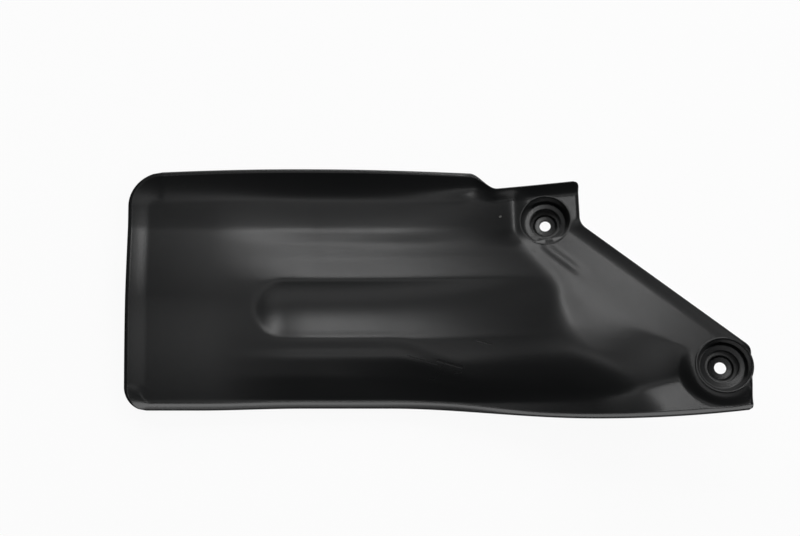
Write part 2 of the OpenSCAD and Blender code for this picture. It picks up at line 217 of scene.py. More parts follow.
class Sheet:
    """Edge lines and heights of the moulded sheet, in millimetres from the upper bolt hole."""

    def __init__(self, shape, cups):
        for owner in (shape, cups):
            for key in owner.bl_rna.properties.keys():
                if key in ("name", "rna_type"):
                    continue
                value = getattr(owner, key)
                unit = owner.bl_rna.properties[key].unit
                setattr(self, key, value if unit == 'ROTATION' else value / MM)
        self.slope_x = math.tan(self.arm_rise)
        self.slope_y = math.tan(self.arm_lean) / math.cos(self.arm_rise)
        self.end_x = -self.flap_reach
        self.crest_y = -self.groove_y + self.groove_w / 2
        self.back_y = -self.groove_y - self.groove_w / 2
        self.foot_y = -self.bottom_reach + self.bottom_lip_w - FOOT_GAP
        self.slant_k = (self.tip_y - self.nook_y) / (self.tip_reach - self.tab_side)
        self.slant_a = math.atan(self.slant_k)
        half = math.tan((math.pi / 2 - self.slant_a) / 2)
        self.corner_r, self.nook_r, self.tip_r, self.tip_low_r = 3.4, 8.0, 6.0, 3.0
        self.crown_y = self.crest_y - CROWN_DROP
        self.nook_t, self.tip_t = self.nook_r * half, self.tip_r * half
        self.tip_low_x = self.tip_reach - TIP_INSET
        x = self.end_x + self.top_corner_r
        self.top_left = (x, self.top_line(x) - self.top_corner_r)
        x = self.end_x + self.bottom_corner_r
        self.low_left = (x, self.bottom_line(x) + self.bottom_corner_r)
        x = self.tab_side - self.corner_r
        self.tab_right = (x, self.tab_line(x) - self.corner_r)
        x = self.tip_low_x - self.tip_low_r
        self.low_right = (x, self.bottom_line(x) + self.tip_low_r)
        self.mid_x = (self.tip_reach + CUP_OVERHANG - self.flap_reach
                      - self.end_slant / SLANT_PART) / 2
        self.mid_y = (self.top_reach - self.bottom_reach - self.belly_sag) / 2

    def top_line(self, x):
        return self.top_reach - self.top_bow * ((x - BOW_MID) / BOW_HALF) ** 2

    def bottom_line(self, x):
        x = np.asarray(x, dtype=float)
        sag = np.where(x < BELLY_X, ramp(x, *BELLY_RAMP),
                       1 - BELLY_FADE * ((x - BELLY_X) / BELLY_RUN) ** 2)
        return -self.bottom_reach - END_DROP * ramp(x, *END_DROP_RAMP) - self.belly_sag * sag

    def tab_line(self, x):
        return self.notch_y + TAB_SLOPE * (x + self.notch_reach)

    def upper_y(self, x):
        a = -NOTCH_RUN - self.notch_reach
        blend = mix(self.top_line(a), self.notch_y, ramp(x, a, NOTCH_RUN))
        return np.where(x < a, self.top_line(x), np.where(x < -self.notch_reach, blend,
                                                          self.tab_line(x)))

    def left_x(self, y):
        up = arc_in(self.top_corner_r, y - self.top_left[1])
        low = arc_in(self.bottom_corner_r, self.low_left[1] - y)
        return self.end_x + np.where(y > self.top_left[1], up,
                                     np.where(y < self.low_left[1], low, 0))

    def right_x(self, y):
        a = self.slant_a
        foot = mix(self.tip_reach, self.tip_low_x,
                   lim((-self.tip_y - self.tip_t - y) / TIP_RUN))
        foot = foot - np.where(y < self.low_right[1],
                               arc_in(self.tip_low_r, self.low_right[1] - y), 0)
        return np.select(
            [y > self.tab_right[1], y > -self.nook_y + self.nook_t,
             y > -self.nook_y - self.nook_t * math.sin(a),
             y > -self.tip_y + self.tip_t * math.sin(a), y > -self.tip_y - self.tip_t],
            [self.tab_side - arc_in(self.corner_r, y - self.tab_right[1]),
             self.tab_side + 0 * y,
             self.tab_side + arc_in(self.nook_r, -self.nook_y + self.nook_t - y),
             self.tab_side + (-self.nook_y - y) / self.slant_k,
             self.tip_reach - arc_in(self.tip_r, y + self.tip_y + self.tip_t)], foot)

    def groove(self, x, y):
        r = self.groove_w / 2
        dx = np.maximum(0, r - self.groove_reach - x)
        dy = y + self.groove_y
        return -self.groove_depth * np.maximum(0, 1 - (dx * dx + dy * dy) / (r * r))

    def crown(self, y):
        share = abs(y - self.crown_y) / (self.crown_y - self.foot_y)
        return self.end_crown * np.maximum(0, 1 - share ** CROWN_POWER)

    def folds(self, x, y):
        """Height of the folds, straight between their knots across the flap."""
        e = ramp(x, *TURN_RAMP)
        by, cy = self.back_y - BACK_TURN * e, self.crest_y
        low = self.back_rise - self.back_step * (1 - e)
        knots = [(self.foot_y, 0), (self.foot_y + FACET_W - FACET_TURN * e, low - FACET_FALL),
                 (by - STEP_FAR + STEP_TURN * e, low), (by - STEP_NEAR, low),
                 (by, self.back_rise), (cy, self.crest_rise),
                 (cy + FOLD_NEAR, self.fold_rise + FOLD_SWELL),
                 (cy + FOLD_FAR, self.fold_rise), (cy + FLAT_FROM, 0)]
        z = 0 * y
        for (y0, z0), (y1, z1) in zip(knots, knots[1:]):
            t = (y - y0) / (y1 - y0)
            z = np.where((t > 0) & (t <= 1), mix(z0, z1, t), z)
        return z

    def panel(self, x, y):
        """Top face of the flap: crown, folds, groove, upward sweep and dished free end."""
        m, flat_y = ramp(x, *CROWN_RAMP), self.crest_y + FLAT_FROM
        z = mix(self.crown(np.minimum(y, flat_y)), self.folds(x, y), m)
        far = np.maximum(0, y - flat_y) / SWEEP_RUN
        sweep = self.sweep_h * mix(SWEEP_SHARE, 1, m) * far ** 2
        dish = DISH_H * (np.maximum(0, DISH_X - x) / DISH_RUN) ** DISH_POWER
        return self.sheet_t + z + self.groove(x, y) + sweep + dish

    def shoulder(self, y):
        """Line where the rise meets the arm's face, as x for each y."""
        x = SHOULDER_X
        for shift, rows in SHOULDER_BENDS:
            x = x + shift * ramp(y, *rows)
        return x

    def face(self, x, y):
        return self.face_h + self.slope_x * x - self.slope_y * y

    def terrace(self, x, y):
        """The step along the foot of the arm, kept clear of both cups."""
        hi = TERRACE_TOP - TERRACE_TOP_SLOPE * (x - TERRACE_X)
        lo = TERRACE_FOOT + TERRACE_FOOT_SLOPE * (x - TERRACE_X)
        t = lim((hi - y) / np.maximum(TERRACE_LEAST, hi - lo))
        p = mix(TERRACE_POWER, TERRACE_POWER_TIP, ramp(x, *TERRACE_POWER_RAMP))
        r = self.mouth_d / 2 + CUP_CLEAR
        clear = np.minimum(ramp(np.hypot(x, y), r, CUP_FADE),
                           ramp(np.hypot(x - self.bolt_dx, y + self.bolt_dy), r, CUP_FADE))
        band = BAND_LIFT * np.maximum(0, lo - y) * ramp(x, *BAND_RAMP)
        return (band - self.terrace_h * t ** p) * clear

    def arm(self, x, y):
        return self.face(x, y) + self.terrace(x, y)

    def body(self, x, y):
        """The panel, the steepening rise from it and the arm, rounded where they join."""
        s = self.shoulder(y)
        low, high, upper = ramp(y, *LOW_ROWS), ramp(y, *MID_ROWS), ramp(y, *UPPER_ROWS)
        start = RISE_X + RISE_X_LOW * low
        t = np.maximum(0, (x - start) / (s - start))
        p = RISE_POWER - RISE_POWER_LOW * low + RISE_POWER_UPPER * upper
        lift = mix(mix(LIFT_LOW, LIFT_MID, high), LIFT_UPPER, upper)
        lift = lift * ramp(y, *LIFT_FROM) * (1 - ramp(y, *LIFT_TO))
        wide = mix(mix(CREST_W_LOW, CREST_W_MID, high), CREST_W_UPPER, upper)
        lead = mix(CREST_LEAD, CREST_LEAD_UPPER, upper)
        flap = self.panel(x, y)
        top = self.arm(s, y) + lift * np.exp(-(lead / wide) ** 2)
        rise = flap + (top - flap) * t ** p
        past = np.maximum(0, x - s + lead)
        face = self.arm(x, y) + lift * np.exp(-(past / wide) ** 2)
        k = mix(BLEND_UPPER, BLEND_LOW, ramp(y, *BLEND_ROWS))
        h = lim(0.5 + 0.5 * (face - rise) / k)
        joined = mix(face, rise, h) - k * h * (1 - h)
        return mix(rise, joined, ramp(t, JOIN_FROM, 1 - JOIN_FROM)) + self.vein(x, y)

    def vein(self, x, y):
        """Low raised streak on the arm below the upper cup."""
        along = VEIN_EAST * (x - VEIN_X) - VEIN_SOUTH * (y - VEIN_Y)
        beside = VEIN_SOUTH * (x - VEIN_X) + VEIN_EAST * (y - VEIN_Y)
        across = np.exp(-(beside / VEIN_W) ** 2)
        return VEIN_H * across * ramp(along, *VEIN_IN) * (1 - ramp(along, *VEIN_OUT))

    def soft_body(self, x, y, r=CREASE_R):
        """The same surface with its creases rounded as a mould leaves them."""
        total = 0
        for dx in (-r, 0, r):
            for dy in (-r, 0, r):
                total = total + self.body(x + dx, y + dy)
        return total / 9

    def lip_up(self, x):
        """Height of the turned-up top edge, lower towards the free end."""
        top = self.top_lip_h * mix(TOP_LIP_SHARE, 1, ramp(x, *TOP_LIP_RAMP))
        return mix(top, self.tab_lip_h, ramp(x, *TAB_LIP_RAMP))

    def curl(self, d, w, h, rim=0):
        """Height of an edge turned up over the width w, rolled level over its last part."""
        roll = ROLL_DROP * (np.maximum(0, rim - d) / np.maximum(rim, 0.1)) ** 2
        return h * lim(1 - np.maximum(0, d - rim) / w) ** CURL_POWER - roll

    def lips(self, x, y):
        """Distance to the nearest edge and height of the lip there; corners turn round."""
        v = (self.top_left[0] - x, y - self.top_left[1])
        u = (self.low_left[0] - x, self.low_left[1] - y)
        tv = np.arctan2(np.maximum(v[1], 0), np.maximum(v[0], 1e-6)) / (math.pi / 2)
        tu = np.arctan2(np.maximum(u[1], 0), np.maximum(u[0], 1e-6)) / (math.pi / 2)
        dv = np.maximum(0, self.top_corner_r - np.hypot(*v))
        dw = np.maximum(0, self.bottom_corner_r - np.hypot(*u))
        end_h = END_LIP_SHARE * self.end_lip_h
        zv = self.curl(dv, mix(self.end_lip_w, self.top_lip_w, tv),
                       mix(end_h, self.lip_up(x), tv), self.rim_w)
        zu = self.curl(dw, mix(self.end_lip_w, self.bottom_lip_w, tu),
                       mix(end_h, self.bottom_lip_h, tu), self.rim_w * (1 - tu))
        du = np.maximum(0, self.upper_y(x) - y)
        dl = np.maximum(0, y - self.bottom_line(x))
        de = np.maximum(0, x - self.end_x)
        s = ramp(-y - self.nook_y, *SLANT_RAMP) * ramp(y + self.tip_y, *SLANT_RAMP)
        dr = np.maximum(0, self.right_x(y) - x) * mix(1, math.sin(self.slant_a), s)
        foot = ramp(x, *ARM_FOOT_RAMP)
        zn = np.maximum.reduce([
            self.curl(du, mix(self.top_lip_w, self.tab_lip_w, ramp(x, *TAB_LIP_W_RAMP)),
                      self.lip_up(x), self.rim_w * (1 - ramp(x, *TAB_LIP_RAMP))),
            self.curl(dl, mix(self.bottom_lip_w, ARM_FOOT_W, foot),
                      mix(self.bottom_lip_h, ARM_FOOT_H, foot)),
            self.curl(de, self.end_lip_w, end_h, self.rim_w),
            self.curl(dr, mix(SIDE_LIP_W, ARM_LIP_W, s), mix(SIDE_LIP_H, self.arm_lip_h, s))])
        dn = np.minimum.reduce([du, dl, de, dr])
        in_v, in_u = (v[0] > 0) & (v[1] > 0), (u[0] > 0) & (u[1] > 0)
        return (np.where(in_v, dv, np.where(in_u, dw, dn)),
                np.where(in_v, zv, np.where(in_u, zu, zn)))

    def pull_up(self, y):
        return lim((y + PULL_GAP) / (self.top_reach + PULL_GAP)) ** PULL_UP_POWER

    def pull_low(self, y):
        start = self.back_y - PULL_GAP
        return lim((start - y) / (self.bottom_reach + start)) ** PULL_LOW_POWER

    def end_rows(self, y, up, low):
        """Rows of the grid, pulled so that the first and last follow the lines up and low."""
        return (y + (up - self.top_reach) * self.pull_up(y)
                + (low + self.bottom_reach) * self.pull_low(y))

    def plan(self, u, y):
        """u runs 0 to 1 along the flap and 1 to 2 along the arm."""
        yl = self.end_rows(y, self.top_left[1] + self.top_corner_r,
                           self.low_left[1] - self.bottom_corner_r)
        yr = self.end_rows(y, self.tab_right[1] + self.corner_r,
                           self.low_right[1] - self.tip_low_r)
        s = self.shoulder(y)
        x = np.where(u <= 1, mix(self.left_x(yl), s, u), mix(s, self.right_x(yr), u - 1))
        return x, self.end_rows(y, self.upper_y(x), self.bottom_line(x))

    def axis(self):
        """Direction square to the arm's leaning face."""
        a, b = self.arm_rise, self.arm_lean
        return Vector((-math.sin(a) * math.cos(b), math.sin(b), math.cos(a) * math.cos(b)))


def arc_in(r, d):
    """How far a round corner of radius r comes in at the distance d from its centre line."""
    return r - np.sqrt(np.maximum(0, r * r - d * d))


def refine(stops, n, ends):
    """Adds n - 1 points in every gap but the first and last ones, which edges round over."""
    out = [stops[0]]
    for k in range(len(stops) - 1):
        m = 1 if k in ends else n
        out += [mix(stops[k], stops[k + 1], j / m) for j in range(1, m + 1)]
    return np.array(out)


# Meshes: rows and columns of the grid in millimetres from an edge or a fold, TIP_COLS and
# ARM_SHARE in the shares that Sheet.plan takes, then the edge, the cup mouths and the cups

TOP_ROWS = (0, 0.8, 2, 3.8, 6, 8.6, 11.4, 14.6, 19, 25, 30)
FOLD_ROWS = (FLAT_FROM, 25.5, FOLD_FAR, 17, FOLD_NEAR, 6)
STEP_ROW, FACET_ROWS = 3.4, (FACET_W, 8, 3.6, 0)
BOTTOM_ROWS = (2.8, 1.5, 0.8, 0)
END_COLS = (0, 1.2, 2.6, 4.4, 6.6, 9, 11.6, 16, 22)
TIP_COLS = (1.935, 1.96, 1.985, 2)
GRID_EAST, RISE_COL, ARM_SHARE = -22, -80, 0.91
GROOVE_STEPS, PANEL_STEPS, RISE_STEPS, ARM_STEPS = 8, 16, 15, 27
SLANT_X, SLANT_RUN, SLANT_MID, SLANT_SPAN = -150, 94, 38, 140
EDGE_FADE, MOST_DROP = 2.6, 1.25
EDGE_R, ARC_MID = 0.5, 0.29
MOUTH_GAP, MOUTH_DEPTH, SNAP_REACH, SNAP_GAP = 0.1, 6, 3, 0.5
CUP_POINTS, CUP_EDGE_R, ROUND_STEPS, ROUND_SHARE = 144, 0.6, 4, 0.45
HOLE_EDGE, HOLE_EDGE_BACK, RIM_FROM, RIM_TO = 0.25, 0.3, 0.35, 0.9
WALL_OVER, WALL_UNDER = 0.02, 0.25
STRAIGHT_SIDE, STRAIGHT_IN, STRAIGHT_LEAN, STRAIGHT_WIDTH = -80.5, 2.4, 0.75, 0.3
STRAIGHT_ABOVE, STRAIGHT_BELOW = 0.7, 0.3


def new_piece(name, points, faces, material, sharp=40):
    mesh = bpy.data.meshes.new(name)
    mesh.from_pydata(points, [], faces)
    mesh.validate()
    mesh.update()
    for poly in mesh.polygons:
        poly.use_smooth = True
    mesh.set_sharp_from_angle(angle=math.radians(sharp))
    mesh.materials.append(material)
    piece = bpy.data.objects.new(name, mesh)
    bpy.context.scene.collection.objects.link(piece)
    return piece


def ride_as_flap(piece):
    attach(piece, BODY)
    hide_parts(NODE)


def sheet_mesh(sh, fine=4):
    """Top and under faces of the sheet, the round edge between them and room for the cups."""
    top = sh.top_reach
    rows = [top - d for d in TOP_ROWS]
    rows += [sh.crest_y + d for d in FOLD_ROWS]
    rows += [mix(sh.crest_y, sh.back_y, k / GROOVE_STEPS) for k in range(GROOVE_STEPS + 1)]
    rows += [sh.back_y - d for d in (STEP_ROW, STEP_NEAR, STEP_FAR)]
    rows.append(mix(sh.back_y - STEP_FAR, sh.foot_y + FACET_W, 0.5))
    rows += [sh.foot_y + d for d in FACET_ROWS]
    rows += [-sh.bottom_reach + d for d in BOTTOM_ROWS]
    reach = GRID_EAST - sh.end_x
    rise = (RISE_COL - sh.end_x) / reach
    cols = [d / reach for d in END_COLS]
    cols += [mix(cols[-1], rise, k / PANEL_STEPS) for k in range(1, PANEL_STEPS + 1)]
    cols += [mix(rise, 1, k / RISE_STEPS) for k in range(1, RISE_STEPS + 1)]
    cols += [1 + ARM_SHARE * k / ARM_STEPS for k in range(1, ARM_STEPS + 1)]
    cols += TIP_COLS
    v = refine(rows, fine, (0, len(rows) - 2))
    u = refine(cols, fine, (0, len(cols) - 2))
    gu, gv = np.meshgrid(u, v, indexing="ij")
    x, y = sh.plan(gu, gv)
    d, lip = sh.lips(x, y)
    z = sh.soft_body(x, y) + lip
    slant = sh.end_slant * lim((SLANT_X - x) / SLANT_RUN) * (-y - SLANT_MID) / SLANT_SPAN
    p = np.stack([x + slant, y, z], axis=-1)
    nc, nr = len(u), len(v)

    def normals(q):
        i, j = np.arange(nc), np.arange(nr)
        du = q[np.minimum(nc - 1, i + 1)] - q[np.maximum(0, i - 1)]
        dv = q[:, np.maximum(0, j - 1)] - q[:, np.minimum(nr - 1, j + 1)]
        c = np.cross(du, dv)
        return c / np.linalg.norm(c, axis=-1, keepdims=True)

    n = normals(p)
    edge = np.zeros((nc, nr), dtype=bool)
    edge[0, :] = edge[-1, :] = edge[:, 0] = edge[:, -1] = True
    k = np.where(edge, 0, lim(d / EDGE_FADE))
    dz = np.minimum(MOST_DROP, mix(1 / n[..., 2], n[..., 2], k))
    t = sh.sheet_t
    q = np.stack([p[..., 0] - k * t * n[..., 0], p[..., 1] - k * t * n[..., 1],
                  p[..., 2] - t * dz], axis=-1)

    # the rounded edge: the outline loop, clockwise seen from above
    loop = [(i, 0) for i in range(nc - 1)] + [(nc - 1, j) for j in range(nr - 1)]
    loop += [(i, nr - 1) for i in range(nc - 1, 0, -1)]
    loop += [(0, j) for j in range(nr - 1, 0, -1)]
    li = np.array(loop)
    lp = p[li[:, 0], li[:, 1]]
    lq = q[li[:, 0], li[:, 1]]
    tan = np.roll(lp, -1, axis=0) - np.roll(lp, 1, axis=0)
    out = np.stack([-tan[:, 1], tan[:, 0]], axis=-1)
    out /= np.linalg.norm(out, axis=-1, keepdims=True)
    bend = ARC_MID * EDGE_R
    steps = [(EDGE_R, 0), (bend, bend), (0, EDGE_R)]
    rings = []
    for inset, drop in steps:
        ring = lp.copy()
        ring[:, :2] -= out * inset
        ring[:, 2] -= drop
        rings.append(ring)
    for inset, drop in reversed(steps):
        ring = lq.copy()
        ring[:, :2] -= out * inset
        ring[:, 2] += drop
        rings.append(ring)
    p[li[:, 0], li[:, 1]] = rings[0]
    q[li[:, 0], li[:, 1]] = rings[-1]

    pts = np.concatenate([p.reshape(-1, 3), q.reshape(-1, 3)] + rings[1:-1])
    m = nc * nr
    idx = np.arange(m).reshape(nc, nr)
    a, b, c, e = idx[:-1, :-1], idx[1:, :-1], idx[1:, 1:], idx[:-1, 1:]
    up = np.stack([a, e, c, b], axis=-1).reshape(-1, 4)
    low = np.stack([a, b, c, e], axis=-1).reshape(-1, 4) + m
    ln = len(loop)
    level = [idx[li[:, 0], li[:, 1]]] + [2 * m + ln * s + np.arange(ln) for s in range(4)]
    level.append(idx[li[:, 0], li[:, 1]] + m)
    walls = []
    for s in range(5):
        g, h = level[s], level[s + 1]
        walls.append(np.stack([g, np.roll(g, -1), np.roll(h, -1), h], axis=-1))
    faces = np.concatenate([up, low] + walls)

    # room for the cups: faces inside a mouth go, and the points round it move to a circle
    ax = np.array(sh.axis())
    keep = np.ones(len(pts), dtype=bool)
    for cx, cy in ((0, 0), (sh.bolt_dx, -sh.bolt_dy)):
        rel = pts - np.array([cx, cy, sh.face(cx, cy)])
        h = rel @ ax
        rad = np.linalg.norm(rel - h[:, None] * ax, axis=1)
        keep &= ~((rad < sh.mouth_d / 2 + MOUTH_GAP) & (np.abs(h) < MOUTH_DEPTH))
    alive = keep[faces].all(axis=1)
    cut = np.unique(faces[~alive])
    used = np.zeros(len(pts), dtype=bool)
    used[faces[alive].ravel()] = True
    cut = cut[used[cut]]
    for cx, cy in ((0, 0), (sh.bolt_dx, -sh.bolt_dy)):
        rel = pts[cut] - np.array([cx, cy, sh.face(cx, cy)])
        h = rel @ ax
        flat = rel - h[:, None] * ax
        rad = np.linalg.norm(flat, axis=1)
        near = rad < sh.mouth_d / 2 + SNAP_REACH
        scale = (sh.mouth_d / 2 + SNAP_GAP) / rad[near]
        moved = pts[cut[near]]
        moved += flat[near] * (scale - 1)[:, None]
        pts[cut[near]] = moved
    remap = np.cumsum(used) - 1
    pts = pts[used] - np.array([sh.mid_x, sh.mid_y, 0])
    return (pts * MM).tolist(), remap[faces[alive]].tolist()


def rounded(profile, radius, n=ROUND_STEPS):
    """Rounds every corner of an open profile by up to the radius."""
    out = [profile[0]]
    for a, b, c in zip(profile, profile[1:], profile[2:]):
        a, b, c = np.array(a, float), np.array(b, float), np.array(c, float)
        la, lc = np.linalg.norm(a - b), np.linalg.norm(c - b)
        t = min(radius, ROUND_SHARE * la, ROUND_SHARE * lc)
        p, q = b + (a - b) / la * t, b + (c - b) / lc * t
        for k in range(n + 1):
            s = k / n
            out.append(tuple((1 - s) ** 2 * p + 2 * s * (1 - s) * b + s * s * q))
    out.append(profile[-1])
    return out


def cup_mesh(sh, cx, cy, flat=None):
    """Stepped cup on the arm's face; flat = (bearing, distance) straightens one side."""
    around = CUP_POINTS
    rm, rs, rd, rf, rh = (sh.mouth_d / 2, sh.shelf_d / 2, sh.drop_d / 2, sh.seat_d / 2,
                          sh.hole_d / 2)
    # draft of the upper and the lower wall, and the radius of their back at the top
    k1 = (rm - rs) / sh.shelf_h
    k2 = (rd - rf) / (sh.seat_h - sh.shelf_h)
    o1 = rm + sh.boss_t * math.sqrt(1 + k1 * k1)
    o2 = rd + sh.boss_t * math.sqrt(1 + k2 * k2)
    under = sh.sheet_t + WALL_UNDER
    deep = sh.seat_h + sh.boss_t
    shelf = sh.shelf_h + sh.boss_t
    points = [(rh, -sh.seat_h - HOLE_EDGE), (rh + HOLE_EDGE, -sh.seat_h), (rf, -sh.seat_h),
              (rd, -sh.shelf_h), (rs, -sh.shelf_h), (rm, 0), (rm + RIM_FROM, sh.rim_h),
              (rm + RIM_TO, sh.rim_h), (o1 - under * k1, WALL_OVER), (o1 - under * k1, -under),
              (o1 - shelf * k1, -shelf), (o2 - (shelf - sh.shelf_h) * k2, -shelf),
              (o2 - (deep - sh.shelf_h) * k2, -deep), (rh + HOLE_EDGE_BACK, -deep),
              (rh, -deep + HOLE_EDGE_BACK)]
    profile = rounded(points, CUP_EDGE_R)
    a = np.linspace(0, 2 * math.pi, around, endpoint=False)
    r = np.array([q[0] for q in profile])
    h = np.array([q[1] for q in profile])
    radii = np.repeat(r[:, None], around, axis=1)
    if flat:
        side = np.cos(a - flat[0])
        chord = (flat[1] - (rm - r[:, None]) * STRAIGHT_LEAN) / np.maximum(side, 0.05)
        inside = (r > rd + STRAIGHT_ABOVE) & (r < rm + STRAIGHT_BELOW)
        inside &= np.arange(len(r)) < int(np.argmax(r))
        radii = np.where(inside[:, None] & (side > STRAIGHT_WIDTH), np.minimum(radii, chord),
                         radii)
    turn = np.array(Matrix.Rotation(-sh.arm_rise, 3, 'Y')
                    @ Matrix.Rotation(-sh.arm_lean, 3, 'X'))
    local = np.stack([radii * np.cos(a), radii * np.sin(a),
                      np.repeat(h[:, None], around, axis=1)], axis=-1).reshape(-1, 3)
    base = np.array([cx - sh.mid_x, cy - sh.mid_y, sh.face(cx, cy)])
    pts = (local @ turn.T + base) * MM
    faces = []
    n = len(profile)
    for k in range(n):
        this, following = k * around, (k + 1) % n * around
        for j in range(around):
            on = (j + 1) % around
            faces.append((this + j, this + on, following + on, following + j))
    return pts.tolist(), faces


# Materials: shader maths, the plastic and the table

PALE_GAIN, PALE_LIFT = 1.3, 0.0003
SCAR_DARK, SPECK_TONE = (0.003, 0.003, 0.003, 1), (0.18, 0.18, 0.17, 1)
ROUGH, ROUGH_CLOUD, ROUGH_STREAK, ROUGH_GRAIN, ROUGH_SCAR = 0.19, 0.04, 0.03, 0.05, 0.12
BUMP_GRAIN, BUMP_STREAK, BUMP_SCAR = 0.6, 0.4, 3.0
TINT_CLOUD, TINT_STREAK, SCAR_SHARE, SPECK_SHARE = 0.7, 0.3, 0.35, 0.6
SCRATCH_CORE, SCRATCH_EDGE = 0.3, 1.8
TABLE_GLOW = 0.93


class Wire:
    """A socket that takes Python's operators and adds the Math nodes for them."""

    def __init__(self, graph, socket):
        self.graph, self.socket = graph, socket

    def _math(self, op, *terms):
        return self.graph.add("ShaderNodeMath", {"operation": op}, dict(enumerate(terms)))

    def __add__(self, o):
        return self._math('ADD', self, o)

    def __radd__(self, o):
        return self._math('ADD', o, self)

    def __sub__(self, o):
        return self._math('SUBTRACT', self, o)

    def __rsub__(self, o):
        return self._math('SUBTRACT', o, self)

    def __mul__(self, o):
        return self._math('MULTIPLY', self, o)

    def __rmul__(self, o):
        return self._math('MULTIPLY', o, self)

    def __truediv__(self, o):
        return self._math('DIVIDE', self, o)

    def clamp(self, low=0.0, high=1.0):
        return self._math('MAXIMUM', self._math('MINIMUM', self, high), low)

    def band(self, low, high):
        """0 below low, 1 above high, smooth between."""
        t = ((self - low) / (high - low)).clamp()
        return t * t * (3 - 2 * t)


class Graph:
    """Node tree of one material."""

    def __init__(self, name):
        self.material = bpy.data.materials.new(name)
        self.material.use_nodes = True
        self.tree = self.material.node_tree
        self.tree.nodes.clear()

    def add(self, kind, settings=None, inputs=None, out=0):
        """Adds a node of the kind with its settings and sockets, and gives one output back."""
        node = self.tree.nodes.new(kind)
        for key, value in (settings or {}).items():
            setattr(node, key, value)
        for key, value in (inputs or {}).items():
            socket = node.inputs[key]
            if isinstance(value, Wire):
                self.tree.links.new(value.socket, socket)
            else:
                socket.default_value = value
        return Wire(self, node.outputs[out])


def finish_surface(graph, shader):
    end = graph.tree.nodes.new("ShaderNodeOutputMaterial")
    graph.tree.links.new(shader.socket, end.inputs["Surface"])
    return graph.material


# Scratches and a pale speck: x and y of both ends from the upper bolt hole, and the width
SCRATCHES = ((-62.6, -81.0, -49.2, -84.9, 1.2), (-64.2, -89.9, -58.1, -81.6, 0.5),
             (-79.9, -78.2, -63.1, -83.2, 0.4), (-53.1, -88.3, -49.2, -87.7, 0.5),
             (-40.2, -69.8, -32.4, -72.1, 0.7), (-67.6, -91.6, -64.2, -91.6, 0.5))
SPECK = (-25.7, 2.8, -25.2, 3.0, 1.1)


def stroke(across, up, mark, origin):
    """1 inside a straight scratch, soft at its sides."""
    from_x, from_y, to_x, to_y, width = mark
    x0, y0 = (from_x - origin[0]) * MM, (from_y - origin[1]) * MM
    run, climb = (to_x - from_x) * MM, (to_y - from_y) * MM
    along = (((across - x0) * run + (up - y0) * climb) / (run ** 2 + climb ** 2)).clamp()
    off_x, off_y = across - x0 - along * run, up - y0 - along * climb
    half = (width * MM / 2) ** 2
    far = off_x * off_x + off_y * off_y
    return 1 - far.band(half * SCRATCH_CORE, half * SCRATCH_EDGE)


def flap_plastic(finish, origin):
    """Satin black moulded plastic with a fine grain, faint flow tint and light scuffs."""
    g = Graph(PLASTIC)
    coords = g.add("ShaderNodeTexCoord", out="Object")
    cloud = g.add("ShaderNodeTexNoise", inputs={"Vector": coords, "Scale": 22.0, "Detail": 3.0,
                                               "Roughness": 0.55})
    grain = g.add("ShaderNodeTexNoise", inputs={"Vector": coords, "Scale": 1500.0,
                                               "Detail": 2.0, "Roughness": 0.6})
    smear = g.add("ShaderNodeMapping", inputs={"Vector": coords, "Scale": (30.0, 220.0, 60.0)})
    streak = g.add("ShaderNodeTexNoise", inputs={"Vector": smear, "Scale": 1.0, "Detail": 5.0,
                                                "Roughness": 0.6})
    across = g.add("ShaderNodeSeparateXYZ", inputs={"Vector": coords}, out="X")
    up = g.add("ShaderNodeSeparateXYZ", inputs={"Vector": coords}, out="Y")
    scars = stroke(across, up, SCRATCHES[0], origin)
    for mark in SCRATCHES[1:]:
        scars = (scars + stroke(across, up, mark, origin)).clamp()
    scars = scars * (SCAR_SHARE + streak)
    speck = stroke(across, up, SPECK, origin)
    base = tuple(finish.plastic) + (1.0,)
    pale = tuple(min(1, c * PALE_GAIN + PALE_LIFT) for c in finish.plastic) + (1.0,)
    worn = (cloud * TINT_CLOUD + streak * TINT_STREAK).clamp()
    tint = g.add("ShaderNodeMix", {"data_type": 'RGBA'},
                 {"Factor": worn, "A": base, "B": pale}, out=2)
    tint = g.add("ShaderNodeMix", {"data_type": 'RGBA'},
                 {"Factor": scars.clamp(), "A": tint, "B": SCAR_DARK}, out=2)
    tint = g.add("ShaderNodeMix", {"data_type": 'RGBA'},
                 {"Factor": speck * SPECK_SHARE, "A": tint, "B": SPECK_TONE}, out=2)
    rough = (ROUGH + cloud * ROUGH_CLOUD + streak * ROUGH_STREAK + grain * ROUGH_GRAIN
             + scars * ROUGH_SCAR)
    height = grain * BUMP_GRAIN + streak * BUMP_STREAK - scars * BUMP_SCAR
    bump = g.add("ShaderNodeBump", inputs={"Height": height, "Strength": 0.12,
                                           "Distance": 0.0002})
    shader = g.add("ShaderNodeBsdfPrincipled", inputs={
        "Base Color": tint, "Roughness": rough, "Normal": bump, "IOR": 1.5,
        "Specular IOR Level": 0.5})
    return finish_surface(g, shader)


def table_white(finish):
    """White matt table that also glows for the rays that see it, so that it shows white."""
    g = Graph("table_white")
    path = g.add("ShaderNodeLightPath", out="Is Camera Ray")
    gloss = g.add("ShaderNodeLightPath", out="Is Glossy Ray")
    sheer = g.add("ShaderNodeLightPath", out="Is Transmission Ray")
    paint = g.add("ShaderNodeBsdfDiffuse", inputs={"Color": tuple(finish.table) + (1.0,)})
    glow = g.add("ShaderNodeEmission", inputs={"Color": (1, 1, 1, 1), "Strength": 1.0})
    seen = (path + gloss + sheer).clamp() * TABLE_GLOW
    shader = g.add("ShaderNodeMixShader", inputs={0: seen, 1: paint, 2: glow})
    return finish_surface(g, shader)


# Operators: one for the sheet, one for the cups and one for the stage

